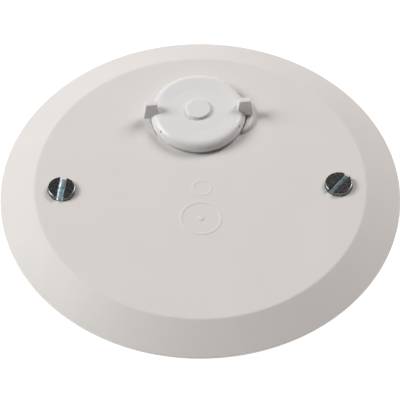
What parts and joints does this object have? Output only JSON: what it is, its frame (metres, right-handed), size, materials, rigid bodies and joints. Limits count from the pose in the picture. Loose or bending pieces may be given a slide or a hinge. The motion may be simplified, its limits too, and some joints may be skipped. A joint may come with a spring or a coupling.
{
  "type": "smoke detector",
  "caption": "Flush ceiling smoke detector: round bevelled cover, off-centre capped smoke port with grip lugs, slotted cover screws, optical chamber and terminals in a recessed housing.",
  "frame": {"origin": "centre of the rear housing's flat back face, which is the lowest level of the part", "axes": "+Z out of the ceiling through the front cover, +Y towards the off-centre smoke port, X through the two cover screws"},
  "size_m": [0.0866, 0.0866, 0.0265],
  "materials": {
    "cover_plastic": "fine-textured warm white moulded plastic",
    "cap_plastic": "smooth cool white moulded plastic, soft gloss",
    "nylon": "natural nylon",
    "housing_plastic": "satin white moulded plastic",
    "black_plastic": "matt black moulded plastic",
    "terminal_plastic": "satin green moulded plastic",
    "board_laminate": "green solder mask over glass-fibre laminate",
    "capacitor_sleeve": "blue shrink sleeve on an aluminium can",
    "clear_resin": "water-clear cast resin",
    "dark_resin": "daylight-filtering dark cast resin",
    "zinc_steel": "zinc-plated steel with a blue-grey passivated sheen",
    "tinned_steel": "bright tinned steel",
    "brass": "turned brass",
    "rubber": "matt black rubber",
    "foam": "grey closed-cell foam"
  },
  "bodies": {
    "root": {"rear_housing": "housing_plastic", "draught_seal": "foam", "cable_grommet": "rubber", "left_threaded_insert": "brass", "right_threaded_insert": "brass", "circuit_board": "board_laminate", "board_screw_left": "zinc_steel", "board_screw_right": "zinc_steel", "board_screw_front": "zinc_steel", "controller_chip": "black_plastic", "bridge_rectifier": "black_plastic", "smoothing_capacitor": "capacitor_sleeve", "amplifier_screen": "tinned_steel", "terminal_block": "terminal_plastic", "terminal_tab_1": "brass", "terminal_tab_2": "brass", "terminal_tab_3": "brass", "terminal_tab_4": "brass", "chamber_cover": "black_plastic", "chamber_base": "black_plastic", "insect_mesh": "tinned_steel", "port_gasket": "foam", "ir_emitter": "clear_resin", "photodiode": "dark_resin"},
    "cover": {"front_cover": "cover_plastic"},
    "left_retainer": {"left_screw_retainer": "nylon"},
    "left_screw": {"left_cover_screw": "zinc_steel"},
    "right_retainer": {"right_screw_retainer": "nylon"},
    "right_screw": {"right_cover_screw": "zinc_steel"},
    "cap_seal": {"cap_seal": "rubber"},
    "cap": {"port_cap": "cap_plastic"},
    "terminal_screw_1": {"terminal_screw_1": "zinc_steel"},
    "terminal_cage_1": {"terminal_cage_1": "tinned_steel"},
    "terminal_screw_2": {"terminal_screw_2": "zinc_steel"},
    "terminal_cage_2": {"terminal_cage_2": "tinned_steel"},
    "terminal_screw_3": {"terminal_screw_3": "zinc_steel"},
    "terminal_cage_3": {"terminal_cage_3": "tinned_steel"},
    "terminal_screw_4": {"terminal_screw_4": "zinc_steel"},
    "terminal_cage_4": {"terminal_cage_4": "tinned_steel"}
  },
  "joints": [
    {"name": "cover_lift", "type": "slide", "parent": "root", "child": "cover", "axis": [0, 0, 1], "range_m": [0, 0.04]},
    {"name": "left_screw_rise", "type": "slide", "parent": "cover", "child": "left_retainer", "axis": [0, 0, 1], "range_m": [0, 0.0065]},
    {"name": "left_screw_turn", "type": "hinge", "parent": "left_retainer", "child": "left_screw", "pos_m": [-0.03, 0, 0.0207], "axis": [0, 0, 1], "range_deg": [0, 3905]},
    {"name": "right_screw_rise", "type": "slide", "parent": "cover", "child": "right_retainer", "axis": [0, 0, 1], "range_m": [0, 0.0065]},
    {"name": "right_screw_turn", "type": "hinge", "parent": "right_retainer", "child": "right_screw", "pos_m": [0.03, 0, 0.0207], "axis": [0, 0, 1], "range_deg": [0, 3905]},
    {"name": "cap_lift", "type": "slide", "parent": "cover", "child": "cap_seal", "axis": [0, 0, 1], "range_m": [0, 0.025]},
    {"name": "cap_turn", "type": "hinge", "parent": "cap_seal", "child": "cap", "pos_m": [0, 0.0196, 0.024], "axis": [0, 0, 1], "continuous": true},
    {"name": "terminal_screw_1_turn", "type": "hinge", "parent": "root", "child": "terminal_screw_1", "pos_m": [-0.0075, -0.0169, 0.012], "axis": [0, 0, -1], "range_deg": [0, 1445]},
    {"name": "terminal_cage_1_rise", "type": "slide", "parent": "root", "child": "terminal_cage_1", "axis": [0, 0, 1], "range_m": [0, 0.002]},
    {"name": "terminal_screw_2_turn", "type": "hinge", "parent": "root", "child": "terminal_screw_2", "pos_m": [-0.0025, -0.0169, 0.012], "axis": [0, 0, -1], "range_deg": [0, 1445]},
    {"name": "terminal_cage_2_rise", "type": "slide", "parent": "root", "child": "terminal_cage_2", "axis": [0, 0, 1], "range_m": [0, 0.002]},
    {"name": "terminal_screw_3_turn", "type": "hinge", "parent": "root", "child": "terminal_screw_3", "pos_m": [0.0025, -0.0169, 0.012], "axis": [0, 0, -1], "range_deg": [0, 1445]},
    {"name": "terminal_cage_3_rise", "type": "slide", "parent": "root", "child": "terminal_cage_3", "axis": [0, 0, 1], "range_m": [0, 0.002]},
    {"name": "terminal_screw_4_turn", "type": "hinge", "parent": "root", "child": "terminal_screw_4", "pos_m": [0.0075, -0.0169, 0.012], "axis": [0, 0, -1], "range_deg": [0, 1445]},
    {"name": "terminal_cage_4_rise", "type": "slide", "parent": "root", "child": "terminal_cage_4", "axis": [0, 0, 1], "range_m": [0, 0.002]}
  ],
  "couplings": [
    {"joint": "left_screw_turn", "follows": "left_screw_rise", "rad_per_m": 10472},
    {"joint": "right_screw_turn", "follows": "right_screw_rise", "rad_per_m": 10472},
    {"joint": "terminal_screw_1_turn", "follows": "terminal_cage_1_rise", "rad_per_m": 12566},
    {"joint": "terminal_screw_2_turn", "follows": "terminal_cage_2_rise", "rad_per_m": 12566},
    {"joint": "terminal_screw_3_turn", "follows": "terminal_cage_3_rise", "rad_per_m": 12566},
    {"joint": "terminal_screw_4_turn", "follows": "terminal_cage_4_rise", "rad_per_m": 12566}
  ]
}
